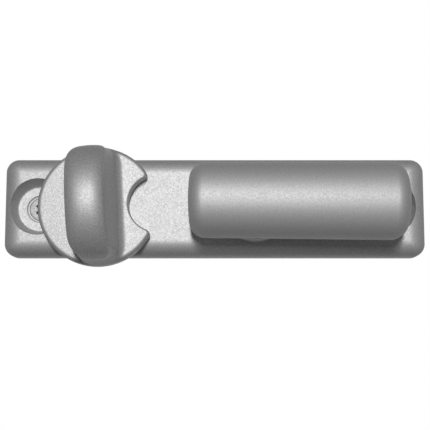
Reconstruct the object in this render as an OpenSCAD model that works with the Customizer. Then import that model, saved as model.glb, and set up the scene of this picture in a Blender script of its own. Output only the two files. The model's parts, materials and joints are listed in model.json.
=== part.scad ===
// Tilt and turn window handle: a base plate that carries a lever and a thumb turn, each on its own
// square spindle. Shapes are drawn lying down, with z = 0 on the back face and the front towards +z.
// face_out() then stands them up: x stays along the plate, the front looks along -Y, and y becomes Z.

/* [Base plate] */
// Length of the base plate
plate_length = 140; // [138:1:146]
// Height of the base plate
plate_height = 32.8; // [31:0.1:36]
// Depth of the base plate, from the sash to its face
plate_depth = 9.5; // [9.5:0.1:10.5]
// Radius of the four corners, seen from the front
plate_corner = 4.4; // [4.4:0.2:6]
// Radius that rounds the front edges over
plate_edge = 4.2; // [2:0.2:4.2]

/* [Fixing screws] */
// Distance between the two fixing screws
screw_spacing = 116; // [114:1:118]
// Where the middle between the fixing screws is, from the middle of the plate
screws_x = -0.6; // [-1:0.1:1]
// Diameter of the screws' shanks
screw_d = 4; // [3.5:0.5:4]
// Length of the screws, head included
screw_length = 35; // [25:5:50]
// Diameter of the screws' heads
screw_head_d = 7.6; // [7:0.2:8.4]
// Diameter of a screw recess at the face
recess_mouth_d = 18.2; // [17:0.2:18.6]
// Diameter of a screw recess at its floor
recess_floor_d = 16.2; // [15:0.2:17]
// Depth of a screw recess
recess_depth = 6.8; // [6:0.1:6.8]

/* [Lever] */
// Where the lever's axis is, from the middle of the plate
lever_x = 13.3; // [12:0.1:15]
// Reach of the grip's long end from the axis
grip_long = 48.4; // [44:0.2:50]
// Reach of the grip's short end from the axis
grip_short = 21.7; // [18:0.1:23]
// Width of the grip over the neck
grip_width = 24.2; // [22:0.1:26]
// Width of the grip at its long end
grip_end_width = 24.8; // [22:0.1:27]
// Angle at which the lever rests, within its detent's play
lever_rest = -0.3; // [-2:0.1:2]
// Gap between the plate's face and the underside of the grip
grip_gap = 10; // [9:0.5:14]
// Height of the grip's side walls
grip_side = 4; // [3:0.5:6]
// Height of the grip's crown above its side walls
grip_crown = 9; // [6:0.5:12]
// Diameter of the neck under the grip
neck_d = 24.2; // [21:0.1:24.2]
// Diameter of the lever's journal in its bush
lever_journal_d = 14; // [13.5:0.5:14]
// Width across flats of the lever's square spindle
lever_square = 7; // [6:1:7]

/* [Thumb turn] */
// Where the thumb turn's axis is, from the middle of the plate
thumb_x = -38.3; // [-38.6:0.1:-37.8]
// How far the thumb turn's axis is above the lever's
thumb_y = -0.7; // [-1:0.1:1]
// Angle at which the thumb turn rests, within its detent's play
thumb_rest = 3; // [0:0.5:4]
// Diameter of the disc
disc_d = 39; // [36:0.2:39.4]
// Thickness of the disc
disc_t = 5.1; // [4:0.1:6]
// Radius that rounds the disc's front edge over
disc_edge = 1.3; // [0.8:0.1:1.6]
// Radius of the screwdriver notch in the disc
notch_r = 9.3; // [8.6:0.1:9.6]
// Distance of the notch's middle from the axis, which puts it over the screw after half a turn
notch_shift = 19.4; // [19:0.1:20.2]
// Width of the rib's crown
rib_width = 12.6; // [10:0.2:14]
// Height of the rib's crest above the disc
rib_height = 21.5; // [14:0.5:24]
// Height of the rib at its two ends
rib_end_height = 5; // [2:0.5:7]
// Radius that rounds off the rib's two ends, seen from the front
rib_end_r = 5; // [3:0.5:6]
// Distance of the rib's middle from the axis, away from the notch
rib_shift = 1.7; // [0:0.1:2]
// Diameter of the thumb turn's journal in its bush
thumb_journal_d = 10; // [9.5:0.5:10]
// Width across flats of the thumb turn's square spindle
thumb_square = 5; // [4:1:5]

/* [Spindles] */
// How far the lever's spindle stands out of the back face
lever_spindle_out = 35; // [20:5:45]
// How far the thumb turn's spindle stands out of the back face
thumb_spindle_out = 30; // [20:5:45]

/* [Hidden] */
$fn = 64;
hull_fn = 32;          // rounds inside a hull
eps = 0.01;            // thickness of a hull's slices
cut = 1;               // how far a cutter runs past the surface that it opens

// fits
run = 0.05;            // radial clearance of a running fit
snug = 0.02;           // radial clearance between pieces of one body
square_play = 0.1;     // how much wider a square socket is than its spindle

// base plate
face_z = plate_depth;
chamber_top = plate_depth - 3;                 // inner side of the plate's front wall
channel_top = chamber_top + 0.3;               // the ball channels go a little deeper
recess_floor_z = plate_depth - recess_depth;
screw_hole_r = screw_d / 2 + 0.25;
countersink_r = 4.7;                           // mouth of the 90 degree countersink
screw_places = [screws_x - screw_spacing / 2, screws_x + screw_spacing / 2];

// rear cover
cover_t = 1;
cover_sink = 0.4;                              // how far the cover lies below the back face
cover_x = 46.5;                                // half the length of the cover's seat
cover_y = 13;                                  // half the height of the cover's seat
cover_play = 0.15;
cover_screw_r = 1.25;
cover_screw_head_r = 2;
cover_screw_length = 5.5;
screw_rim = 0.2;                               // height of a countersunk head's edge
head_play = 0.1;                               // around a countersunk head in its seat
cover_screw_places = [for (x = [-14, 42], y = [-8.6, 8.6]) [x, y]];
coring = [[-27.5, -18.2], [-9.8, -1], [28, 37.8]];   // pockets that thin the casting, from x to x
coring_y = [4.2, 12];

// stack on each journal, from the front wall back to the journal's end
washer_t = 0.5;
washer_gap = 0.05;
index_t = 2.5;
wave_t = 0.5;
circlip_t = 1;
thrust_z = chamber_top - washer_gap - washer_t;
index_z = thrust_z - washer_gap - index_t;
wave_z = index_z - washer_gap - wave_t;
circlip_z = wave_z - washer_gap - circlip_t;
journal_end_z = circlip_z - 0.3;
groove_r = 0.4;                                // depth of a circlip groove
flange_t = 0.5;                                // bush flange between the plate and what turns on it
flange_z = face_z + 0.02;
turning_z = face_z + 0.6;                      // underside of the neck and of the disc

// lever
lever_bush_r = 8.5;
lever_index_r = 10.2;
lever_chamber_r = 12;
lever_circlip_r = 10;
lever_spindle_top = 24;
grip_z = face_z + grip_gap;
grip_wall_top = grip_z + grip_side;
grip_corner = 4.8;
grip_end_round = 6;                            // how far the crown draws in at the two ends
grip_under_round = 1.4;

// thumb turn
thumb_bush_r = 6.5;
thumb_index_r = 6.9;
thumb_chamber_r = 8.6;
thumb_circlip_r = 7.4;
thumb_spindle_top = 22;
disc_r = disc_d / 2;
disc_top = turning_z + disc_t;
rib_crown_r = 5;                               // radius of the crown's two shoulders
flank_r = 4.2;                                 // radius of the cove at the rib's foot, on the notch's side
flank_left = 0.3;                              // the other side's cove, as a share of that
flank_steps = 4;

// detents
ball_r = 2;
ball_gap = 0.1;                                // between a ball and the crest of its index disc
ball_z = index_z + index_t / 2;
channel_w = 4.3;
spring_d = 3.6;
spring_wire = 0.5;
spring_length = 7.6;
spring_turns = 6;
pin_z = plate_depth - 1.5;
lever_pin_r = 1.25;
thumb_pin_r = 1;

// ---------------------------------------------------------------- helpers

module face_out() rotate([90, 0, 0]) children();

module at_lever_axis() translate([lever_x, 0, 0]) children();

module at_lever() at_lever_axis() rotate([0, 0, lever_rest]) children();

module at_thumb_axis() translate([thumb_x, thumb_y, 0]) children();

module at_thumb() at_thumb_axis() rotate([0, 0, thumb_rest]) children();

// Points of a rectangle from x0 to x1 and from -y to y, with round corners of radius r.
function round_rect(x0, x1, y, r, n = 6) = [
    for (c = [[x1 - r, y - r, 0], [x0 + r, y - r, 90], [x0 + r, r - y, 180], [x1 - r, r - y, 270]],
         i = [0:n])
        [c[0] + r * cos(c[2] + 90 * i / n), c[1] + r * sin(c[2] + 90 * i / n)]
];

module slice(z, points) translate([0, 0, z]) linear_extrude(height = eps) polygon(points);

module ring(outer_r, inner_r, h) difference() {
    cylinder(r = outer_r, h = h);
    translate([0, 0, -cut]) cylinder(r = inner_r, h = h + 2 * cut);
}

module square_bar(size, from_z, to_z) translate([-size / 2, -size / 2, from_z])
    cube([size, size, to_z - from_z]);

// A square bar whose two ends are chamfered.
module spindle_bar(size, from_z, to_z, chamfer = 0.6) intersection() {
    square_bar(size, from_z, to_z);
    union() {
        translate([0, 0, from_z]) cylinder(h = chamfer * 2, r1 = size * 0.62, r2 = size);
        translate([0, 0, from_z + chamfer * 2]) cylinder(h = to_z - from_z - chamfer * 4, r = size);
        translate([0, 0, to_z - chamfer * 2]) cylinder(h = chamfer * 2, r1 = size, r2 = size * 0.62);
    }
}

// The end of a journal has two flats that carry the index disc.
module journal(r, flats_z) {
    translate([0, 0, flats_z]) cylinder(r = r, h = turning_z + cut - flats_z);
    intersection() {
        translate([0, 0, journal_end_z]) cylinder(r = r, h = flats_z - journal_end_z);
        translate([-r, -r * 0.86, journal_end_z]) cube([2 * r, r * 1.72, flats_z]);
    }
}

module circlip_groove(r) translate([0, 0, circlip_z - 0.05]) ring(r + cut, r - groove_r, circlip_t + 0.1);

module cross_pin(r, length) translate([0, length / 2, pin_z]) rotate([90, 0, 0]) cylinder(r = r, h = length);

// Open retaining ring with two lugs, each with an eye for the pliers.
module circlip(shaft_r, outer_r) {
    lug_r = 1.5;
    lug_at = (shaft_r + outer_r) / 2 + 0.2;
    spread = 24;
    translate([0, 0, circlip_z]) difference() {
        union() {
            ring(outer_r, shaft_r - groove_r + snug, circlip_t);
            for (a = [-spread, spread]) rotate([0, 0, 270 + a]) translate([lug_at, 0, 0])
                cylinder(r = lug_r, h = circlip_t);
        }
        translate([-1.7, -2 * outer_r, -cut]) cube([3.4, 2 * outer_r, circlip_t + 2 * cut]);
        translate([0, 0, -cut]) cylinder(r = shaft_r - groove_r + snug, h = circlip_t + 2 * cut);
        for (a = [-spread, spread]) rotate([0, 0, 270 + a]) translate([lug_at, 0, -cut])
            cylinder(r = 0.6, h = circlip_t + 2 * cut);
    }
}

// Dished spring washer.
module wave_washer(inner_r, outer_r) translate([0, 0, wave_z]) rotate_extrude()
    polygon([[inner_r, 0], [inner_r + 0.3, 0], [outer_r, wave_t - 0.3], [outer_r, wave_t], [inner_r, 0.3]]);

// Index disc on a journal with two flats, with a round notch every 90 degrees.
module index_disc(r, journal_r) translate([0, 0, index_z]) difference() {
    cylinder(r = r, h = index_t);
    intersection() {
        translate([0, 0, -cut]) cylinder(r = journal_r + snug, h = index_t + 2 * cut);
        translate([-2 * journal_r, -journal_r * 0.86 - snug, -cut])
            cube([4 * journal_r, journal_r * 1.72 + 2 * snug, index_t + 2 * cut]);
    }
    for (a = [0:90:270]) rotate([0, 0, a]) translate([r + ball_r - 0.3, 0, -cut])
        cylinder(r = ball_r + 0.15, h = index_t + 2 * cut);
}

// Coil spring along +x from the origin, as one swept tube.
module coil_spring(sides = 6, steps = 14) {
    n = spring_turns * steps;
    coil_r = (spring_d - spring_wire) / 2;
    rings = [for (i = [0:n], j = [0:sides - 1])
        let (a = 360 * i / steps, b = 360 * j / sides, rr = coil_r + spring_wire / 2 * cos(b))
        [spring_wire / 2 + (spring_length - spring_wire) * i / n + spring_wire / 2 * sin(b),
         rr * cos(a), rr * sin(a)]];
    sides_of = [for (i = [0:n - 1], j = [0:sides - 1]) let (k = (j + 1) % sides)
        [i * sides + j, i * sides + k, (i + 1) * sides + k, (i + 1) * sides + j]];
    first = [for (j = [sides - 1:-1:0]) j];
    last = [for (j = [0:sides - 1]) n * sides + j];
    polyhedron(rings, concat([first], sides_of, [last]), convexity = 10);
}

// Countersunk screw, its head's top at z = 0 and its shank below.
module countersunk_screw(shank_r, head_r, length, cross_w) difference() {
    union() {
        translate([0, 0, -length]) cylinder(r = shank_r, h = length - head_r + shank_r);
        translate([0, 0, shank_r - head_r - screw_rim])
            cylinder(h = head_r - shank_r, r1 = shank_r, r2 = head_r);
        translate([0, 0, -screw_rim]) cylinder(r = head_r, h = screw_rim);
    }
    for (a = [45, 135]) rotate([0, 0, a]) translate([-head_r * 0.55, -cross_w / 2, -head_r * 0.42])
        cube([head_r * 1.1, cross_w, head_r]);
}

// Cuts the seat of such a head.
module head_seat(shank_r, head_r) {
    deep = screw_rim + head_play;
    translate([0, 0, -deep]) cylinder(r = head_r + head_play, h = deep + cut);
    translate([0, 0, shank_r - head_r - deep])
        cylinder(h = head_r - shank_r + eps, r1 = shank_r + head_play, r2 = head_r + head_play);
}

// ---------------------------------------------------------------- base plate and what is fixed to it

module plate_blank() hull() for (sx = [-1, 1], sy = [-1, 1])
    translate([sx * (plate_length / 2 - plate_corner), sy * (plate_height / 2 - plate_corner), 0])
        rotate_extrude($fn = hull_fn) polygon(concat(
            [[0, 0], [plate_corner, 0]],
            [for (a = [0:15:90]) [plate_corner - plate_edge * (1 - cos(a)),
                                  plate_depth - plate_edge * (1 - sin(a))]],
            [[0, plate_depth]]));

module screw_recess() {
    translate([0, 0, recess_floor_z]) cylinder(h = recess_depth, d1 = recess_floor_d, d2 = recess_mouth_d);
    translate([0, 0, plate_depth - 0.3]) cylinder(h = 0.6, d1 = recess_mouth_d, d2 = recess_mouth_d + 0.8);
    translate([0, 0, recess_floor_z - countersink_r + screw_hole_r])
        cylinder(h = countersink_r - screw_hole_r + eps, r1 = screw_hole_r, r2 = countersink_r + eps);
    translate([0, 0, -cut]) cylinder(r = screw_hole_r, h = plate_depth);
}

module ball_channel(from_r, to_r) translate([from_r, -channel_w / 2, -cut])
    cube([to_r - from_r, channel_w, channel_top + cut]);

module base_plate() color([0.72, 0.72, 0.73]) difference() {
    plate_blank();
    for (x = screw_places) translate([x, 0, 0]) screw_recess();
    translate([-cover_x, -cover_y, -cut]) cube([2 * cover_x, 2 * cover_y, cut + cover_sink + cover_t]);
    translate([lever_x, 0, -cut]) {
        cylinder(r = lever_bush_r, h = plate_depth + 2 * cut);
        cylinder(r = lever_chamber_r, h = chamber_top + cut);
    }
    at_thumb_axis() translate([0, 0, -cut]) {
        cylinder(r = thumb_bush_r, h = plate_depth + 2 * cut);
        cylinder(r = thumb_chamber_r, h = chamber_top + cut);
    }
    at_lever_axis() for (a = [0, 180]) rotate([0, 0, a])
        ball_channel(lever_chamber_r - cut, lever_index_r + ball_gap + 2 * ball_r + spring_length + 0.1);
    at_thumb_axis()
        ball_channel(thumb_chamber_r - cut, thumb_index_r + ball_gap + 2 * ball_r + spring_length + 0.1);
    for (p = coring, sy = [0, 1]) mirror([0, sy, 0]) translate([p[0], coring_y[0], -cut])
        cube([p[1] - p[0], coring_y[1] - coring_y[0], chamber_top + cut]);
    for (p = cover_screw_places) translate([p[0], p[1], 0])
        cylinder(r = cover_screw_r + snug, h = cover_sink + cover_screw_length + 0.4);
}

module rear_cover() color([0.6, 0.6, 0.62]) translate([0, 0, cover_sink]) difference() {
    translate([-cover_x + cover_play, -cover_y + cover_play, 0])
        cube([2 * (cover_x - cover_play), 2 * (cover_y - cover_play), cover_t]);
    translate([lever_x, 0, -cut]) cylinder(d = lever_journal_d + 1, h = cover_t + 2 * cut);
    translate([thumb_x, thumb_y, -cut]) cylinder(d = thumb_journal_d + 1, h = cover_t + 2 * cut);
    for (p = cover_screw_places) translate([p[0], p[1], 0]) {
        translate([0, 0, -cut]) cylinder(r = cover_screw_r + head_play, h = cover_t + 2 * cut);
        rotate([180, 0, 0]) head_seat(cover_screw_r, cover_screw_head_r);
    }
}

module rear_cover_screws() color([0.7, 0.7, 0.72]) for (p = cover_screw_places)
    translate([p[0], p[1], cover_sink]) rotate([180, 0, 0])
        countersunk_screw(cover_screw_r, cover_screw_head_r, cover_screw_length, 0.6);

module fixing_screws() color([0.7, 0.7, 0.72]) for (x = screw_places)
    translate([x, 0, recess_floor_z - countersink_r + screw_head_d / 2 + screw_rim + head_play])
        countersunk_screw(screw_d / 2, screw_head_d / 2, screw_length, 1);

module bush(outer_r, journal_r, flange_r) {
    translate([0, 0, chamber_top + snug]) ring(outer_r - snug, journal_r + run, face_z - chamber_top);
    translate([0, 0, flange_z]) ring(flange_r, journal_r + run, flange_t);
}

module detent_ball(crest_r) translate([crest_r + ball_gap + ball_r, 0, ball_z]) sphere(r = ball_r);

module detent_spring(crest_r) translate([crest_r + ball_gap + 2 * ball_r, 0, ball_z]) coil_spring();

module lever_bush() color([0.9, 0.9, 0.88]) at_lever_axis()
    bush(lever_bush_r, lever_journal_d / 2, neck_d / 2 - 0.6);

module lever_detent_balls() color("silver") at_lever_axis() for (a = [0, 180]) rotate([0, 0, a])
    detent_ball(lever_index_r);

module lever_detent_springs() color("silver") at_lever_axis() for (a = [0, 180]) rotate([0, 0, a])
    detent_spring(lever_index_r);

module thumb_turn_bush() color([0.9, 0.9, 0.88]) at_thumb_axis()
    bush(thumb_bush_r, thumb_journal_d / 2, 9);

module thumb_turn_detent_ball() color("silver") at_thumb_axis() detent_ball(thumb_index_r);

module thumb_turn_detent_spring() color("silver") at_thumb_axis() detent_spring(thumb_index_r);

// ---------------------------------------------------------------- lever

// How much wider the grip is at x than over the neck.
function grip_growth(x) = 1 + (grip_end_width / grip_width - 1) * x / grip_long;

// The grip's outline drawn in by the same amount all round, or by more at the ends.
function grip_slice(end_in, side_in) = let (y = max(0.4, grip_width / 2 - side_in))
    [for (p = round_rect(end_in - grip_short, grip_long - end_in, y, min(grip_corner, y - 0.1)))
        [p[0], p[1] * grip_growth(p[0])]];

module grip() hull() {
    for (a = [0:30:90]) let (inset = grip_under_round * (1 - cos(a)))
        slice(grip_z + grip_under_round * (1 - sin(a)), grip_slice(inset, inset));
    for (a = [0:10:90])
        slice(grip_wall_top + grip_crown * sin(a) - eps,
              grip_slice(grip_end_round * (1 - cos(a)), grip_width / 2 * (1 - cos(a))));
}

module lever_handle() color([0.62, 0.62, 0.63]) at_lever() difference() {
    union() {
        grip();
        translate([0, 0, turning_z]) cylinder(d = neck_d, h = grip_z + 2 - turning_z);
        journal(lever_journal_d / 2, thrust_z);
    }
    circlip_groove(lever_journal_d / 2);
    square_bar(lever_square + square_play, 0, lever_spindle_top + 0.1);
    cross_pin(lever_pin_r + snug, lever_journal_d + 2);
}

module lever_spindle() color("silver") at_lever() difference() {
    spindle_bar(lever_square, -lever_spindle_out, lever_spindle_top);
    cross_pin(lever_pin_r + snug, lever_square + 2);
}

module lever_spindle_pin() color("gray") at_lever() cross_pin(lever_pin_r, lever_journal_d - 0.8);

module lever_thrust_washer() color("silver") at_lever() translate([0, 0, thrust_z])
    ring(lever_circlip_r, lever_journal_d / 2 + snug, washer_t);

module lever_index_disc() color([0.75, 0.7, 0.55]) at_lever() index_disc(lever_index_r, lever_journal_d / 2);

module lever_wave_washer() color("silver") at_lever() wave_washer(lever_journal_d / 2 + run, lever_circlip_r);

module lever_circlip() color("gray") at_lever() circlip(lever_journal_d / 2, lever_circlip_r);

// ---------------------------------------------------------------- thumb turn

module disc_blank() rotate_extrude() polygon(concat(
    [[0, turning_z], [disc_r, turning_z]],
    [for (a = [0:15:90]) [disc_r - disc_edge * (1 - cos(a)), disc_top - disc_edge * (1 - sin(a))]],
    [[0, disc_top]]));

// Cuts the notch and rounds its front edge over.
module notch_cutter() translate([notch_shift, 0, 0]) rotate_extrude() polygon(concat(
    [[0, turning_z - cut], [notch_r, turning_z - cut]],
    [for (a = [0:15:90]) [notch_r + disc_edge * (1 - cos(a)), disc_top - disc_edge * (1 - sin(a))]],
    [[notch_r + disc_edge, disc_top + cut], [0, disc_top + cut]]));

function rib_crest(y) = rib_end_height + (rib_height - rib_end_height) * sqrt(1 - pow(y / disc_r, 2) * 0.999);

// Half of the rib's width at y, where its ends are rounded off.
function rib_half(y) = let (past = max(0, abs(y) - disc_r + rib_end_r))
    rib_width / 2 - rib_end_r + sqrt(rib_end_r * rib_end_r - past * past);

// Cross-section of the rib at y, standing on the disc: straight sides and a round crown.
function rib_section(y) = let (h = rib_crest(y), w = rib_half(y), r = min(rib_crown_r, h, w))
    concat([[-w, -0.5]],
           [for (a = [180:-15:90]) [-w + r + r * cos(a), h - r + r * sin(a)]],
           [for (a = [90:-15:0]) [w - r + r * cos(a), h - r + r * sin(a)]],
           [[w, -0.5]]);

module rib() translate([-rib_shift, 0, disc_top]) {
    hull() for (i = [-11:11]) let (y = disc_r * sin(i * 8))
        translate([0, y + eps / 2, 0]) rotate([90, 0, 0]) linear_extrude(height = eps) polygon(rib_section(y));
    for (i = [0:flank_steps - 1]) let (a0 = 90 * i / flank_steps, a1 = 90 * (i + 1) / flank_steps) hull() {
        slice(flank_r * (1 - cos(a0)) - eps, flank_outline(flank_r * (1 - sin(a0))));
        slice(flank_r * (1 - cos(a1)) - eps, flank_outline(flank_r * (1 - sin(a1))));
        slice(-0.5, flank_outline(flank_r * (1 - sin(a1))));
    }
}

// Outline of the rib's foot, spread by so much, inside the disc's edge.
function flank_outline(spread) = let (right = rib_width / 2 + spread, left = rib_width / 2 + flank_left * spread,
                                      reach = disc_r - disc_edge - 0.2)
    concat([for (a = [-50:10:50]) flank_point(right, reach * sin(a), reach)],
           [for (a = [50:-10:-50]) flank_point(-left, reach * sin(a), reach)]);

// The point at height y, so far out as the disc lets it.
function flank_point(x, y, reach) = let (limit = sqrt(reach * reach - y * y))
    [max(rib_shift - limit, min(rib_shift + limit, x)), y];

module thumb_turn() color([0.6, 0.6, 0.61]) at_thumb() difference() {
    union() {
        disc_blank();
        rib();
        journal(thumb_journal_d / 2, thrust_z);
    }
    notch_cutter();
    circlip_groove(thumb_journal_d / 2);
    square_bar(thumb_square + square_play, 0, thumb_spindle_top + 0.1);
    cross_pin(thumb_pin_r + snug, thumb_journal_d + 2);
}

module thumb_turn_spindle() color("silver") at_thumb() difference() {
    spindle_bar(thumb_square, -thumb_spindle_out, thumb_spindle_top);
    cross_pin(thumb_pin_r + snug, thumb_square + 2);
}

module thumb_turn_spindle_pin() color("gray") at_thumb() cross_pin(thumb_pin_r, thumb_journal_d - 0.8);

module thumb_turn_thrust_washer() color("silver") at_thumb() translate([0, 0, thrust_z])
    ring(thumb_circlip_r, thumb_journal_d / 2 + snug, washer_t);

module thumb_turn_index_disc() color([0.75, 0.7, 0.55]) at_thumb()
    index_disc(thumb_index_r, thumb_journal_d / 2);

module thumb_turn_wave_washer() color("silver") at_thumb()
    wave_washer(thumb_journal_d / 2 + run, thumb_circlip_r);

module thumb_turn_circlip() color("gray") at_thumb() circlip(thumb_journal_d / 2, thumb_circlip_r);

// ---------------------------------------------------------------- every node, face out

face_out() {
    base_plate();
    rear_cover();
    rear_cover_screws();
    fixing_screws();
    lever_bush();
    lever_handle();
    lever_spindle();
    lever_spindle_pin();
    lever_thrust_washer();
    lever_index_disc();
    lever_wave_washer();
    lever_circlip();
    lever_detent_balls();
    lever_detent_springs();
    thumb_turn_bush();
    thumb_turn();
    thumb_turn_spindle();
    thumb_turn_spindle_pin();
    thumb_turn_thrust_washer();
    thumb_turn_index_disc();
    thumb_turn_wave_washer();
    thumb_turn_circlip();
    thumb_turn_detent_ball();
    thumb_turn_detent_spring();
}
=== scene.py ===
"""Looks of a tilt and turn window handle: a slim silver plate with a lever and a thumb turn.

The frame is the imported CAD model: X runs along the plate, Z is up and Y goes into the sash, so the front
faces -Y. The plate, the lever, the thumb turn and the fixing screws are remade here as finer meshes, and
everything else is the CAD part with a new finish. A piece is drawn lying down, in mm, with the plate's
back at height 0 and its front above, and is then stood up. Everything else is in metres.
"""

import json
import math

import bpy
import numpy as np
from mathutils import Matrix, Vector


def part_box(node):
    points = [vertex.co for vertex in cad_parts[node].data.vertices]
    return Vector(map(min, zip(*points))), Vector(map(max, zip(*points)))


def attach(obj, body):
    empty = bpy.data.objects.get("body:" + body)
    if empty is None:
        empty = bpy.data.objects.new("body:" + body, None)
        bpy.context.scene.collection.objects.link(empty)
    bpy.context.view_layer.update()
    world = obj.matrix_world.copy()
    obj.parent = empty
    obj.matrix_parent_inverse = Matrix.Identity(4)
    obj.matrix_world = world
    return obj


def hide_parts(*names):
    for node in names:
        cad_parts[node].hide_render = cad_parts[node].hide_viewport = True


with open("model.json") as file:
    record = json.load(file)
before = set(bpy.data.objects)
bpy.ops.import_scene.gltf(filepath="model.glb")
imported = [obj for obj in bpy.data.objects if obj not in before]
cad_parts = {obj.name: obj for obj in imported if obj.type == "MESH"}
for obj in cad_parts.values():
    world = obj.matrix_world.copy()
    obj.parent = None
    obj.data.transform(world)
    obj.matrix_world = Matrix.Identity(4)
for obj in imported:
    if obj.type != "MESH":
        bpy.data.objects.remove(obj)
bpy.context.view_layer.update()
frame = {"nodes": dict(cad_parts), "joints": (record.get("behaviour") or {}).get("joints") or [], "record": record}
nodes = frame["nodes"]
MM = 0.001

# ---------------------------------------------------------------- places and sizes, from the frame


def axis_at(name):
    """Where a hinge's axis is on the plate, in mm along it and up."""
    place = next(j for j in frame["joints"] if j["name"] == name)["pos_m"]
    return place[0] / MM, place[2] / MM


PLATE_LOW, PLATE_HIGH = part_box("base_plate")
FACE_Y = PLATE_LOW.y
DEPTH = (PLATE_HIGH.y - FACE_Y) / MM
HALF_LENGTH = PLATE_HIGH.x / MM
HALF_HEIGHT = PLATE_HIGH.z / MM
CHAMBER_TOP = DEPTH - 3
TURNING = DEPTH + 0.6
RECESS_FLOOR = DEPTH - 6.8

PLATE_CORNER = 4.4
PLATE_EDGE = 4.9
HEAD_R = 3.8
SCREW_R, SCREW_LENGTH = 2.0, 35.0
THREAD_ROOT_R, THREAD_PITCH = 1.55, 0.7
COUNTERSINK_R = 4.7
SCREWS_LOW, SCREWS_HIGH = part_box("fixing_screws")
SCREWS_AT = (SCREWS_LOW.x / MM + HEAD_R, SCREWS_HIGH.x / MM - HEAD_R)

LEVER_AT = axis_at("lever_turn")
THUMB_AT = axis_at("thumb_turn_turn")
LEVER_REST = math.radians(-0.3)
THUMB_REST = math.radians(3)
LEVER_JOURNAL_R, THUMB_JOURNAL_R = 7, 5
LEVER_SQUARE, THUMB_SQUARE = 7.1, 5.1
LEVER_PIN_R, THUMB_PIN_R = 1.27, 1.02
LEVER_SOCKET_TOP, THUMB_SOCKET_TOP = 24.1, 22.1

# ---------------------------------------------------------------- camera


def make_camera():
    """In front of the plate and a little below it, near enough for the thumb turn to show its flank."""
    distance = 350 * MM
    below = math.radians(8)
    aim = Vector((0.1 * MM, FACE_Y, -2.9 * MM))
    forward = Vector((0, math.cos(below), math.sin(below)))
    data = bpy.data.cameras.new("camera")
    data.sensor_width = 36
    data.lens = 88.7
    data.clip_start = 0.01
    data.clip_end = 20
    camera = bpy.data.objects.new("camera", data)
    camera.location = aim - forward * distance
    camera.rotation_mode = "QUATERNION"
    camera.rotation_quaternion = forward.to_track_quat("-Z", "Y")
    bpy.context.scene.collection.objects.link(camera)
    bpy.context.scene.camera = camera


# ---------------------------------------------------------------- meshes from distance formulas


def round_max(a, b, r):
    """What is inside both a and b, its outer edge rounded by r."""
    return np.minimum(-r, np.maximum(a, b)) + np.hypot(np.maximum(r + a, 0), np.maximum(r + b, 0))


def round_min(a, b, r):
    """What is inside a or b, its inner corner filleted by r."""
    return np.maximum(r, np.minimum(a, b)) - np.hypot(np.maximum(r - a, 0), np.maximum(r - b, 0))


def rectangle_distance(x, z, half_x, half_z, r=0.0):
    """Distance to a rectangle about the origin, its corners rounded by r."""
    dx, dz = np.abs(x) - half_x + r, np.abs(z) - half_z + r
    return np.hypot(np.maximum(dx, 0), np.maximum(dz, 0)) + np.minimum(np.maximum(dx, dz), 0) - r


def surface_mesh(distance, low, high, step):
    """Vertices and quads of the surface where distance(x, y, z) is 0, between the corners low and high.

    Each grid cell that the surface crosses gets a vertex, which is then moved onto the surface along the
    gradient. Each grid edge that the surface crosses gets the quad of the four cells around it.
    """
    axes = [np.arange(a - 2.5 * step, b + 2.5 * step, step) for a, b in zip(low, high)]
    inside = distance(*np.meshgrid(*axes, indexing="ij")) < 0
    corners = [inside[i:i - 1 or None, j:j - 1 or None, k:k - 1 or None]
               for i in (0, 1) for j in (0, 1) for k in (0, 1)]
    count = np.sum(corners, axis=0)
    crossed = (count > 0) & (count < 8)
    number = np.full(crossed.shape, -1)
    number[crossed] = np.arange(crossed.sum())
    cells = np.argwhere(crossed)
    centre = np.stack([axes[n][cells[:, n]] for n in range(3)], 1) + step / 2
    point = centre.copy()
    tiny = step * 0.02
    for _ in range(8):
        here = distance(*point.T)
        ahead = [distance(*(point + tiny * np.eye(3)[n]).T) for n in range(3)]
        slope = np.stack([(there - here) / tiny for there in ahead], 1)
        point -= slope * (here / np.maximum((slope ** 2).sum(1), 0.05))[:, None]
        point = np.clip(point, centre - 0.8 * step, centre + 0.8 * step)
    quads = []
    for n in range(3):
        a, b = [m for m in range(3) if m != n]
        first = [slice(None)] * 3
        second = [slice(None)] * 3
        first[n], second[n] = slice(0, -1), slice(1, None)
        change = inside[tuple(first)].astype(int) - inside[tuple(second)].astype(int)
        edges = np.argwhere(change != 0)
        edges = edges[(edges[:, a] > 0) & (edges[:, b] > 0)]
        edges = edges[(edges[:, a] < crossed.shape[a]) & (edges[:, b] < crossed.shape[b])]
        around = []
        for da, db in ((1, 1), (0, 1), (0, 0), (1, 0)):
            cell = edges.copy()
            cell[:, a] -= da
            cell[:, b] -= db
            around.append(number[tuple(cell.T)])
        quad = np.stack(around, 1)
        outward = change[tuple(edges.T)] > 0
        if n == 1:
            outward = ~outward
        quad[~outward] = quad[~outward][:, ::-1]
        quads.append(quad)
    return point, np.concatenate(quads)


def mesh_object(name, points, faces, smooth=True):
    mesh = bpy.data.meshes.new(name)
    mesh.from_pydata([tuple(p) for p in points], [], [tuple(int(i) for i in f) for f in faces])
    mesh.validate()
    mesh.update()
    mesh.polygons.foreach_set("use_smooth", [smooth] * len(mesh.polygons))
    piece = bpy.data.objects.new(name, mesh)
    bpy.context.scene.collection.objects.link(piece)
    return piece


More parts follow.
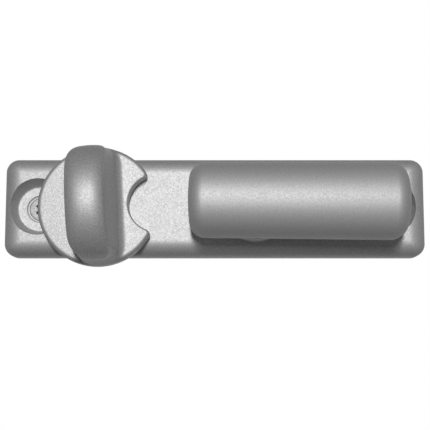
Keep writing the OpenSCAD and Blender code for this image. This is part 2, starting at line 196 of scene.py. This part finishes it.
def turned(profile, sides=96):
    """Mesh of a profile of (radius, height) pairs turned about the local Z axis."""
    points, rings = [], []
    for r, h in profile:
        if r < 1e-9:
            rings.append([len(points)] * sides)
            points.append((0, 0, h))
        else:
            rings.append(list(range(len(points), len(points) + sides)))
            points += [(r * math.cos(2 * math.pi * i / sides), r * math.sin(2 * math.pi * i / sides), h)
                       for i in range(sides)]
    faces = []
    for low, high in zip(rings, rings[1:]):
        for i in range(sides):
            j = (i + 1) % sides
            face = list(dict.fromkeys([low[i], low[j], high[j], high[i]]))
            if len(face) > 2:
                faces.append(face)
    return mesh_object("turned", points, faces)


def ring_faces(k, n):
    """The quads between ring number k of n points and the ring after it."""
    low, high = k * n, (k + 1) * n
    return [[low + i, low + (i + 1) % n, high + (i + 1) % n, high + i] for i in range(n)]


def arc(centre_r, centre_h, radius, start, end, steps=8):
    """Points (radius, height) along an arc, its angles in degrees."""
    angles = [math.radians(start + (end - start) * i / steps) for i in range(steps + 1)]
    return [(centre_r + radius * math.cos(a), centre_h + radius * math.sin(a)) for a in angles]


# ---------------------------------------------------------------- placing a piece

STAND = Matrix(((1, 0, 0, 0), (0, 0, -1, 0), (0, 1, 0, 0), (0, 0, 0, 1)))


def stand_up(piece, at=(0, 0), turn=0.0):
    """Turns a piece that was drawn lying down, stands it up and puts it at a place on the plate."""
    spin = Matrix.Rotation(turn, 4, "Z")
    place = Matrix.Translation((at[0] * MM, 0, at[1] * MM)) @ STAND @ spin @ Matrix.Scale(MM, 4)
    piece.data.transform(place)
    piece.data.update()
    return piece


def settle(piece, body, stands_for):
    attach(piece, body)
    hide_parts(stands_for)


def carve(piece, cutters):
    """Cuts the cutters out of the piece, for good."""
    for cutter in cutters:
        cutting = piece.modifiers.new("carve", "BOOLEAN")
        cutting.solver = "EXACT"
        cutting.object = cutter
    bpy.context.view_layer.update()
    graph = bpy.context.evaluated_depsgraph_get()
    carved = bpy.data.meshes.new_from_object(piece.evaluated_get(graph))
    piece.modifiers.clear()
    piece.data = carved
    for cutter in cutters:
        bpy.data.objects.remove(cutter)


def crisp_shading(piece, angle=38):
    """Smooth rounds and flat faces: edges sharper than the angle stay sharp."""
    for polygon in piece.data.polygons:
        polygon.use_smooth = True
    piece.data.set_sharp_from_angle(angle=math.radians(angle))
    weighted = piece.modifiers.new("weighted_normals", "WEIGHTED_NORMAL")
    weighted.keep_sharp = True
    weighted.weight = 90


def block(low, high):
    """A box between two corners, to cut with."""
    corners = [(x, y, z) for x in (low[0], high[0])
               for y in (low[1], high[1]) for z in (low[2], high[2])]
    faces = [(0, 1, 3, 2), (4, 6, 7, 5), (0, 4, 5, 1), (2, 3, 7, 6), (0, 2, 6, 4), (1, 5, 7, 3)]
    return mesh_object("block", corners, faces, smooth=False)


def moved(piece, x=0.0, y=0.0, z=0.0):
    piece.data.transform(Matrix.Translation((x, y, z)))
    return piece


# ---------------------------------------------------------------- base plate

COVER_HALF_LENGTH, COVER_HALF_HEIGHT, COVER_DEPTH = 46.5, 13, 1.4
COVER_SCREW_R, COVER_SCREW_DEPTH = 1.27, 6.3
COVER_SCREWS_X, COVER_SCREWS_Y = (-14, 42), (-8.6, 8.6)
LEVER_BUSH_R, THUMB_BUSH_R = 8.5, 6.5
LEVER_CHAMBER_R, THUMB_CHAMBER_R = 12, 8.6
DETENT_R = 2.15
DETENT_CHANNELS = ((LEVER_AT, 22, 22), (THUMB_AT, 0, 18.7))
POCKETS_X = ((-27.5, -18.2), (-9.8, -1), (28, 37.8))
POCKET_INNER, POCKET_OUTER = 4.2, 12
OVERSHOOT = 1


def outline(inset, steps=12):
    """The plate's outline as seen from the front, drawn in by inset and a little more at the ends."""
    r = max(PLATE_CORNER - inset, 0.2)
    half_x, half_y = HALF_LENGTH - 1.2 * inset - r, HALF_HEIGHT - 1.1 * inset - r
    points = []
    for sx, sy, start in ((1, 1, 0), (-1, 1, 90), (-1, -1, 180), (1, -1, 270)):
        for i in range(steps + 1):
            a = math.radians(start + 90 * i / steps)
            points.append((sx * half_x + r * math.cos(a), sy * half_y + r * math.sin(a)))
    return points


def plate_blank(back_edge=0.3, steps=14):
    """The solid plate: flat back, upright sides and rounded front edges."""
    edge = PLATE_EDGE
    rings = [(back_edge, 0), (back_edge * 0.3, back_edge * 0.3), (0, back_edge)]
    rings += [(edge * (1 - math.cos(a)), DEPTH - edge * (1 - math.sin(a)))
              for a in (math.radians(90 * i / steps) for i in range(steps + 1))]
    points = [(x, y, h) for inset, h in rings for x, y in outline(inset)]
    n = len(outline(0))
    faces = [list(range(n))[::-1], list(range(n * (len(rings) - 1), n * len(rings)))]
    for k in range(len(rings) - 1):
        faces += ring_faces(k, n)
    return mesh_object("base_plate_casting", points, faces)


def recess_cutter():
    """A screw's recess: leaning wall, filleted floor, stepped countersink and clearance hole."""
    floor = RECESS_FLOOR
    hole_r, seat_r, floor_r, fillet_r, mouth_r = 2.25, 3.95, 8.0, 0.8, 9.5
    hole = [(0, -OVERSHOOT), (hole_r, -OVERSHOOT), (hole_r, floor - 2.45), (seat_r, floor - 0.75)]
    step = [(4.42, floor - 0.72), (4.58, floor - 0.6), (4.66, floor)]
    fillet = arc(floor_r - fillet_r, floor + fillet_r, fillet_r, -90, -12, 6)
    mouth = [(9.3, DEPTH - 0.24), (9.37, DEPTH - 0.1), (mouth_r, DEPTH),
             (mouth_r, DEPTH + OVERSHOOT), (0, DEPTH + OVERSHOOT)]
    return turned(hole + step + fillet + mouth)


def journal_cutter(at, bush_r, chamber_r):
    """Room for a journal: a chamber that is open to the back, and the bush's seat in the front wall."""
    room = turned([(0, -OVERSHOOT), (chamber_r, -OVERSHOOT), (chamber_r, CHAMBER_TOP),
                   (bush_r, CHAMBER_TOP), (bush_r, DEPTH + OVERSHOOT), (0, DEPTH + OVERSHOOT)])
    return moved(room, x=at[0], y=at[1])


def back_cutters():
    """The hollows of the back: for the cover, journals, detents, lightness and cover screws."""
    cutters = [block((-COVER_HALF_LENGTH, -COVER_HALF_HEIGHT, -OVERSHOOT),
                     (COVER_HALF_LENGTH, COVER_HALF_HEIGHT, COVER_DEPTH))]
    cutters += [journal_cutter(LEVER_AT, LEVER_BUSH_R, LEVER_CHAMBER_R),
                journal_cutter(THUMB_AT, THUMB_BUSH_R, THUMB_CHAMBER_R)]
    for at, behind, ahead in DETENT_CHANNELS:
        cutters.append(block((at[0] - behind, at[1] - DETENT_R, -OVERSHOOT),
                             (at[0] + ahead, at[1] + DETENT_R, CHAMBER_TOP + 0.3)))
    for low, high in POCKETS_X:
        cutters += [block((low, POCKET_INNER, -OVERSHOOT), (high, POCKET_OUTER, CHAMBER_TOP)),
                    block((low, -POCKET_OUTER, -OVERSHOOT), (high, -POCKET_INNER, CHAMBER_TOP))]
    hole = [(0, -OVERSHOOT), (COVER_SCREW_R, -OVERSHOOT),
            (COVER_SCREW_R, COVER_SCREW_DEPTH), (0, COVER_SCREW_DEPTH)]
    cutters += [moved(turned(hole, 32), x=x, y=y) for x in COVER_SCREWS_X for y in COVER_SCREWS_Y]
    return cutters


def make_base_plate():
    plate = plate_blank()
    carve(plate, [moved(recess_cutter(), x=x) for x in SCREWS_AT] + back_cutters())
    stand_up(plate)
    crisp_shading(plate)
    plate.data.materials.clear()
    plate.data.materials.append(silver("plate_silver", 0.72, 0.55, 0.14))
    settle(plate, "base", "base_plate")


# ---------------------------------------------------------------- journals


def journal_distance(x, y, h, r):
    """A journal with two flats at its end and a circlip groove; hollow_out takes out its square socket and cross
    pin's hole.
    """
    foot, flats_top, groove_at, groove_half, groove_depth = 1.5, 5.95, 2.3, 0.55, 0.4
    away = np.hypot(x, y)
    d = round_max(away - r, foot - h, 0.3)
    d = np.maximum(d, np.minimum(np.abs(y) - 0.86 * r, flats_top - h))
    groove = np.maximum(r - groove_depth - away, np.abs(h - groove_at) - groove_half)
    return np.maximum(d, -groove)


def hollow_out(d, x, y, h, square, socket_top, pin_r):
    """Takes the square socket and the cross pin's hole out of a lever or thumb turn."""
    socket = np.maximum(rectangle_distance(x, y, square / 2, square / 2, 0.2), h - socket_top)
    pin = np.hypot(x, h - (DEPTH - 1.5)) - pin_r
    return np.maximum(np.maximum(d, -socket), -pin)


# ---------------------------------------------------------------- lever


def lever_distance(x, y, h):
    """The grip is a bar with a crowned front and rounded ends, on a round neck."""
    neck_r, floor = 12.1, TURNING + 9.4
    wall_top, crown = floor + 4, 9.0
    widening = 0.0055
    half_width = neck_r + widening * x
    above = np.maximum(h - wall_top, 0)
    # the two small numbers keep the formula finite on the grip's centre line
    reach = np.sqrt((y / half_width) ** 2 + (above / crown) ** 2 + 1e-4)
    slope = np.sqrt((y / half_width ** 2) ** 2 + (above / crown ** 2) ** 2 + 1e-6)
    crowned = reach * (reach - 1) / slope
    middle, half_length, end_r = 13.35, 35.05, 80.0
    ends = np.hypot(np.abs(x - middle) + end_r - half_length, y) - end_r
    grip = round_max(crowned, ends, 4.6)
    grip = round_max(grip, floor - h, 1.3)
    neck = round_max(np.hypot(x, y) - neck_r, TURNING - h, 0.3)
    neck = np.maximum(neck, h - floor - 2)
    return round_min(grip, neck, 0.8)


def make_lever():
    def distance(x, y, h):
        journal = np.maximum(journal_distance(x, y, h, LEVER_JOURNAL_R), h - TURNING - 1)
        d = np.minimum(lever_distance(x, y, h), journal)
        return hollow_out(d, x, y, h, LEVER_SQUARE, LEVER_SOCKET_TOP, LEVER_PIN_R)

    points, quads = surface_mesh(distance, (-22.1, -12.4, 1.5), (48.9, 12.4, 32.6), 0.34)
    lever = stand_up(mesh_object("lever_grip", points, quads), LEVER_AT, LEVER_REST)
    lever.data.materials.append(silver("lever_silver", 0.7, 0.57, 0.09))
    settle(lever, "lever", "lever_handle")


# ---------------------------------------------------------------- thumb turn


def thumb_distance(x, y, h):
    """A disc with a notch in its edge, and across it a tall rib with an arched crest and coved feet."""
    disc_r, notch_r, notch_at = 19.5, 9.3, 19.4
    top = TURNING + 5.1
    disc = np.hypot(x, y) - disc_r
    notch = notch_r - np.hypot(x - notch_at, y)
    plan = round_max(disc, notch, 1.8)
    # the crest arches from end to end and bulges from side to side
    rib_x, arch_rise, bulge_rise, bulge_half, power = -1.75, 15.5, 5.2, 7.2, 2.4
    along = np.clip(np.abs(y) / disc_r, 0, 0.97)
    arch = np.sqrt(1 - along ** 2)
    across = x - rib_x
    aside = np.clip(np.abs(across) / bulge_half, 0, 0.97)
    bulge = (1 - aside ** power) ** (1 / power)
    arch_slope = arch_rise / disc_r * along / arch
    bulge_slope = bulge_rise / bulge_half * (aside / bulge) ** (power - 1)
    steep = np.hypot(arch_slope, bulge_slope)
    crest = (h - (top + 0.8 + arch_rise * arch + bulge_rise * bulge)) / np.hypot(1, steep)
    # the flank towards the notch leans out to its foot, and the other one is upright
    half_width, corner_r, cove_r = (6.1, 6.35), (4.4, 6.1), (2.0, 0.8)
    notch_side = across > 0
    lean = 0.16 * np.maximum(17 - (h - top), 0)
    side = np.where(notch_side, across - half_width[0] - lean, -across - half_width[1])
    wall = round_max(side, disc, np.where(notch_side, *corner_r))
    rib = round_max(wall, crest, 0.6)
    body = round_min(h - top, rib, np.where(notch_side, *cove_r))
    # the disc's rim is rounder than the notch's, and the ends of the rib are rounder still
    rim = 0.6 + 0.7 * np.clip((disc - notch + 1.5) / 3, 0, 1)
    edge = rim + 2.2 * np.clip((h - top - 1.5) / 4, 0, 1)
    d = round_max(plan, body, edge)
    return round_max(d, TURNING - h, 0.3)


def make_thumb_turn():
    def distance(x, y, h):
        journal = np.maximum(journal_distance(x, y, h, THUMB_JOURNAL_R), h - TURNING - 1)
        d = np.minimum(thumb_distance(x, y, h), journal)
        return hollow_out(d, x, y, h, THUMB_SQUARE, THUMB_SOCKET_TOP, THUMB_PIN_R)

    points, quads = surface_mesh(distance, (-19.5, -19.5, 1.5), (19.5, 19.5, 36.8), 0.3)
    turn = stand_up(mesh_object("thumb_turn_casting", points, quads), THUMB_AT, THUMB_REST)
    turn.data.materials.append(silver("thumb_silver", 0.67, 0.53, 0.18))
    settle(turn, "thumb_turn", "thumb_turn")


# ---------------------------------------------------------------- fixing screws


def thread_points(root_r, crest_r, pitch, top, bottom, sides=32, per_turn=7):
    """Rings of a thread, from its runout at the top to its point at the bottom."""
    rings = []
    count = int((top - bottom) / pitch * per_turn)
    for k in range(count + 1):
        h = top + (bottom - top) * k / count
        grown = min(1.0, (top - h) / 1.5) * min(1.0, (h - bottom) / 1.2 + 0.25)
        ring = []
        for i in range(sides):
            a = 2 * math.pi * i / sides
            phase = ((h / pitch) - i / sides) % 1.0
            tooth = 1 - abs(2 * phase - 1)
            r = root_r + (crest_r - root_r) * grown * min(1.0, tooth * 1.25)
            r = min(r, 0.9 + (h - bottom) * 0.9)
            ring.append((r * math.cos(a), r * math.sin(a), h))
        rings.append(ring)
    return rings


def countersunk_screw():
    """One screw, its head's top at 0: rounded head edge, 90 degree cone, short plain neck and thread."""
    rounding, cone = 0.35, SCREW_R - HEAD_R
    head = [(HEAD_R - 2 * rounding, 0)] + arc(HEAD_R - rounding, -rounding, rounding, 60, -20, 5)
    head += [(SCREW_R + 0.05, cone - 0.2), (SCREW_R - 0.05, cone - 0.5)]
    sides = 32
    rings = [[(r * math.cos(2 * math.pi * i / sides), r * math.sin(2 * math.pi * i / sides), h)
              for i in range(sides)] for r, h in head]
    rings += thread_points(THREAD_ROOT_R, SCREW_R - 0.02, THREAD_PITCH, cone - 0.7, -SCREW_LENGTH, sides)
    points = [p for ring in rings for p in ring]
    faces = [list(range(sides)), list(range(len(points) - sides, len(points)))[::-1]]
    for k in range(len(rings) - 1):
        faces += [face[::-1] for face in ring_faces(k, sides)]
    return mesh_object("fixing_screw", points, faces)


def cross_arm(turn):
    """Half of the cross recess: a blade that narrows towards its foot."""
    foot, top = -1.9, 0.2
    half_sizes = {0.0: (0.75, 0.3), 1.0: (2.2, 0.5)}
    blade = block((-1, -1, 0), (1, 1, 1))
    for vertex in blade.data.vertices:
        half_length, half_width = half_sizes[vertex.co.z]
        vertex.co.x *= half_length
        vertex.co.y *= half_width
        vertex.co.z = foot + (top - foot) * vertex.co.z
    blade.data.transform(Matrix.Rotation(turn, 4, "Z"))
    return blade


def make_fixing_screws(finish):
    rim_and_play = 0.3
    head_top = RECESS_FLOOR - COUNTERSINK_R + HEAD_R + rim_and_play
    for number, x in enumerate(SCREWS_AT):
        screw = countersunk_screw()
        carve(screw, [cross_arm(math.radians(a)) for a in (45, 135)])
        moved(screw, z=head_top)
        stand_up(screw, (x, 0))
        crisp_shading(screw, 32)
        screw.name = f"fixing_screw_{number + 1}"
        screw.data.materials.clear()
        screw.data.materials.append(finish)
        settle(screw, "base", "fixing_screws")


# ---------------------------------------------------------------- materials

COAT_METAL = 0.5
FLAKE_SIZE, FLAKE_RELIEF = 0.42 * MM, 0.03 * MM
SCRATCH_RELIEF = 0.02 * MM


def new_material(name):
    material = bpy.data.materials.new(name)
    material.use_nodes = True
    return material, material.node_tree, material.node_tree.nodes["Principled BSDF"]


def noise(tree, size, detail=2.0, roughness=0.5):
    """Noise whose grains are about so many metres across, fixed to the piece."""
    place = tree.nodes.new("ShaderNodeTexCoord")
    texture = tree.nodes.new("ShaderNodeTexNoise")
    texture.inputs["Scale"].default_value = 1 / size
    texture.inputs["Detail"].default_value = detail
    texture.inputs["Roughness"].default_value = roughness
    tree.links.new(place.outputs["Object"], texture.inputs["Vector"])
    return texture.outputs["Fac"]


def spread(tree, value, low, high, clip_low=0.3, clip_high=0.7):
    """A value from low to high as the noise goes from clip_low to clip_high."""
    ramp = tree.nodes.new("ShaderNodeMapRange")
    limits = {"From Min": clip_low, "From Max": clip_high, "To Min": low, "To Max": high}
    for socket, number in limits.items():
        ramp.inputs[socket].default_value = number
    tree.links.new(value, ramp.inputs["Value"])
    return ramp.outputs["Result"]


def tint(tree, value, dark, light):
    """A colour between dark and light."""
    mix = tree.nodes.new("ShaderNodeMix")
    mix.data_type = "RGBA"
    mix.inputs["A"].default_value = (*dark, 1)
    mix.inputs["B"].default_value = (*light, 1)
    tree.links.new(value, mix.inputs["Factor"])
    return mix.outputs["Result"]


def bump(tree, shader, height, strength, distance):
    node = tree.nodes.new("ShaderNodeBump")
    node.inputs["Strength"].default_value = strength
    node.inputs["Distance"].default_value = distance
    tree.links.new(height, node.inputs["Height"])
    tree.links.new(node.outputs["Normal"], shader.inputs["Normal"])


def silver(name, shade, rough, grain):
    """Silver paint with metal flakes, which scatters part of the light and mirrors the rest softly."""
    material, tree, shader = new_material(name)
    flakes = spread(tree, noise(tree, FLAKE_SIZE, roughness=0.65), 0, 1, clip_low=0.32, clip_high=0.68)
    light, dark = (shade * (1 + grain),) * 3, (shade * (1 - grain),) * 3
    tree.links.new(tint(tree, flakes, dark, light), shader.inputs["Base Color"])
    roughness = spread(tree, flakes, rough + 0.03, rough - 0.03, clip_low=0, clip_high=1)
    tree.links.new(roughness, shader.inputs["Roughness"])
    shader.inputs["Metallic"].default_value = COAT_METAL
    bump(tree, shader, flakes, 2.5 * grain, FLAKE_RELIEF)
    return material


def plain_metal(name, colour, roughness, grain, metallic=1.0):
    material, tree, shader = new_material(name)
    marks = noise(tree, grain, 3.0, 0.6)
    dark = tuple(c * 0.86 for c in colour)
    tree.links.new(tint(tree, spread(tree, marks, 0, 1), dark, colour), shader.inputs["Base Color"])
    tree.links.new(spread(tree, marks, roughness * 0.85, roughness * 1.2), shader.inputs["Roughness"])
    shader.inputs["Metallic"].default_value = metallic
    bump(tree, shader, marks, 0.15, SCRATCH_RELIEF)
    return material


def plain_finishes():
    """The finishes of everything that isn't painted silver, by slot."""
    return {
        "zinc_steel": plain_metal("zinc_steel", (0.62, 0.63, 0.65), 0.34, 1.2 * MM),
        "screw_steel": plain_metal("screw_steel", (0.52, 0.52, 0.52), 0.55, 0.5 * MM),
        "spring_steel": plain_metal("spring_steel", (0.36, 0.37, 0.39), 0.28, 0.6 * MM),
        "bearing_steel": plain_metal("bearing_steel", (0.80, 0.80, 0.80), 0.1, 1.5 * MM),
        "index_brass": plain_metal("index_brass", (0.78, 0.62, 0.34), 0.32, 0.9 * MM),
        "acetal": plain_metal("acetal", (0.84, 0.84, 0.81), 0.45, 1.5 * MM, metallic=0.0),
    }


def finish_cad_nodes(finishes, hidden):
    """Gives each CAD part that still shows its slot's finish, and a fine bevel to catch the light."""
    for part in frame["record"]["subparts"]:
        if part["node"] in hidden:
            continue
        node = nodes[part["node"]]
        node.data.materials.clear()
        node.data.materials.append(finishes[part["material_slot"]])
        bevel = node.modifiers.new("edges", "BEVEL")
        bevel.width = 0.06 * MM
        bevel.limit_method = "ANGLE"
        bevel.angle_limit = math.radians(40)


# ---------------------------------------------------------------- floor, light and room

# how bright the room is towards each end of each axis
ROOM = (("X", 1, 0.1), ("X", -1, 0.06),
        ("Y", 1, 0.82), ("Y", -1, 0.14),
        ("Z", 1, 0.0), ("Z", -1, 0.01))


def make_floor():
    """A plain pale floor, well below the handle and left out of its reflections."""
    half_side, level = 0.55, -0.16
    corners = [(-half_side, -half_side, level), (half_side, -half_side, level),
               (half_side, half_side, level), (-half_side, half_side, level)]
    floor = mesh_object("floor", corners, [(0, 1, 2, 3)])
    material, tree, shader = new_material("floor_pale")
    shader.inputs["Base Color"].default_value = (0.86, 0.86, 0.86, 1)
    shader.inputs["Roughness"].default_value = 0.7
    shader.inputs["Emission Color"].default_value = (1, 1, 1, 1)
    shader.inputs["Emission Strength"].default_value = 0.45
    floor.data.materials.append(material)
    floor.visible_glossy = False
    floor.visible_diffuse = False


def area_light(name, place, width, height, watts):
    data = bpy.data.lights.new(name, "AREA")
    data.shape = "ELLIPSE"
    data.size = width
    data.size_y = height
    data.energy = watts
    light = bpy.data.objects.new(name, data)
    light.location = place
    light.rotation_mode = "QUATERNION"
    light.rotation_quaternion = (-Vector(place)).to_track_quat("-Z", "Y")
    bpy.context.scene.collection.objects.link(light)


def math_node(tree, operation, value, number, clamp=False):
    node = tree.nodes.new("ShaderNodeMath")
    node.operation = operation
    node.use_clamp = clamp
    node.inputs[1].default_value = number
    tree.links.new(value, node.inputs[0])
    return node.outputs["Value"]


def room_brightness(tree):
    """Brightness of the room by direction, blended between its six sides."""
    place = tree.nodes.new("ShaderNodeTexCoord")
    split = tree.nodes.new("ShaderNodeSeparateXYZ")
    tree.links.new(place.outputs["Generated"], split.inputs["Vector"])
    total = None
    for axis, sign, level in ROOM:
        facing = math_node(tree, "MULTIPLY", split.outputs[axis], sign, clamp=True)
        part = math_node(tree, "MULTIPLY", math_node(tree, "POWER", facing, 2), level)
        if total is None:
            total = part
            continue
        both = tree.nodes.new("ShaderNodeMath")
        tree.links.new(total, both.inputs[0])
        tree.links.new(part, both.inputs[1])
        total = both.outputs["Value"]
    return total


def make_room():
    """A plain room around the handle, which the camera sees as white."""
    world = bpy.data.worlds.new("room")
    bpy.context.scene.world = world
    world.use_nodes = True
    tree = world.node_tree
    tree.nodes.clear()
    room = tree.nodes.new("ShaderNodeBackground")
    room.inputs["Color"].default_value = (1, 1, 1, 1)
    tree.links.new(room_brightness(tree), room.inputs["Strength"])
    seen = tree.nodes.new("ShaderNodeBackground")
    seen.inputs["Color"].default_value = (1, 1, 1, 1)
    ray = tree.nodes.new("ShaderNodeLightPath")
    choose = tree.nodes.new("ShaderNodeMixShader")
    tree.links.new(ray.outputs["Is Camera Ray"], choose.inputs["Fac"])
    tree.links.new(room.outputs["Background"], choose.inputs[1])
    tree.links.new(seen.outputs["Background"], choose.inputs[2])
    output = tree.nodes.new("ShaderNodeOutputWorld")
    tree.links.new(choose.outputs["Shader"], output.inputs["Surface"])
    bpy.context.scene.view_settings.view_transform = "Standard"


def from_handle(turn, elevation, distance=1.6):
    """The point at that distance from the handle, so many degrees to the right and so many up."""
    a, e = math.radians(turn), math.radians(elevation)
    ahead = distance * math.cos(e)
    return ahead * math.sin(a), -ahead * math.cos(a), distance * math.sin(e)


def make_light():
    """One tall and narrow soft light in front and a little above."""
    area_light("key", from_handle(turn=-1, elevation=10), width=0.08, height=0.46, watts=11.4)


# ---------------------------------------------------------------- the scene

make_camera()
make_base_plate()
make_lever()
make_thumb_turn()
plain = plain_finishes()
make_fixing_screws(plain["screw_steel"])
finish_cad_nodes(plain, ("base_plate", "lever_handle", "thumb_turn", "fixing_screws"))
make_floor()
make_light()
make_room()
